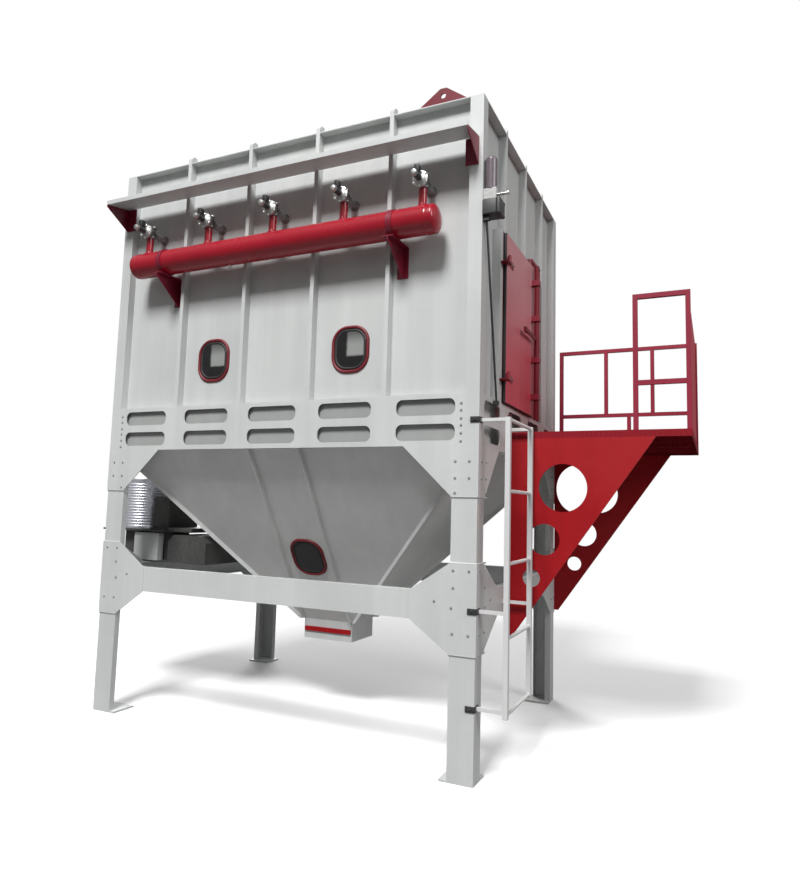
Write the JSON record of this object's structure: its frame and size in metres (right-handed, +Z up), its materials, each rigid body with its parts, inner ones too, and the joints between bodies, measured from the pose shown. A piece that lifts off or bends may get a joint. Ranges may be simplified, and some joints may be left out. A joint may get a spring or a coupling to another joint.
{
  "type": "dust collector",
  "caption": "Pulse-jet dust collector: ribbed housing on legs over a pyramid hopper, with an air header along the front, a side door, a bracketed platform and a ladder.",
  "frame": {"origin": "on the ground, in the middle of the four legs", "axes": "+X along the front towards the platform, +Y to the back, +Z up"},
  "size_m": [4.635, 2.371, 4.338],
  "materials": {
    "body_paint": "satin light grey paint",
    "knee_paint": "satin light grey paint",
    "red_paint": "satin signal red paint",
    "header_paint": "satin dark red paint",
    "door_paint": "dull red paint",
    "maroon_paint": "maroon paint",
    "ladder_paint": "pale grey paint",
    "dark_steel": "black paint",
    "silencer_steel": "bright ribbed steel",
    "valve_aluminium": "cast, matt",
    "coil_plastic": "black moulded",
    "bowl_plastic": "smoke grey bowl",
    "gasket_rubber": "dark red-black rubber",
    "window_glass": "dark, dusty inside"
  },
  "bodies": {
    "collector": {"air_filter": "bowl_plastic", "air_header": "header_paint", "back_wall": "body_paint", "base_plates": "body_paint", "belt_front_back": "body_paint", "belt_sides": "body_paint", "blow_pipes": "body_paint", "canopy_brackets": "maroon_paint", "control_box": "dark_steel", "corner_posts": "body_paint", "door_frame": "maroon_paint", "door_hinges": "dark_steel", "fan_casing": "dark_steel", "fan_plates": "dark_steel", "fan_silencer": "silencer_steel", "fan_terminal_box": "body_paint", "filter_head": "valve_aluminium", "front_wall": "body_paint", "header_brackets": "header_paint", "hopper_collar": "body_paint", "hopper_plates": "body_paint", "hopper_stiffeners": "body_paint", "ladder": "ladder_paint", "ladder_brackets": "ladder_paint", "left_wall": "body_paint", "legs": "body_paint", "lifting_lugs": "maroon_paint", "lower_knee_plates": "knee_paint", "outlet_box": "body_paint", "outlet_strip": "red_paint", "platform_floor": "red_paint", "platform_gussets": "red_paint", "pulse_valves": "valve_aluminium", "railing_end_panel": "red_paint", "railings": "maroon_paint", "rain_canopy": "body_paint", "ribs_front_back": "body_paint", "ribs_sides": "body_paint", "right_wall_back": "body_paint", "right_wall_door_bay": "body_paint", "right_wall_front": "body_paint", "ring_beams": "body_paint", "roof": "body_paint", "supply_pipe": "dark_steel", "top_flange": "body_paint", "upper_knee_plates": "knee_paint", "valve_plugs": "coil_plastic", "window_gaskets": "gasket_rubber", "window_panes": "window_glass"},
    "door": {"door_leaf": "door_paint"},
    "lock_bar": {"lock_bar": "dark_steel"}
  },
  "joints": [
    {"name": "door_hinge", "type": "hinge", "parent": "collector", "child": "door", "pos_m": [1.5583, -0.59, 2.87], "axis": [0, 0, -1], "range_deg": [0, 80]},
    {"name": "lock_bar_turn", "type": "hinge", "parent": "door", "child": "lock_bar", "pos_m": [1.5753, 0.105, 2.88], "axis": [0, 0, 1], "range_deg": [0, 90]}
  ]
}
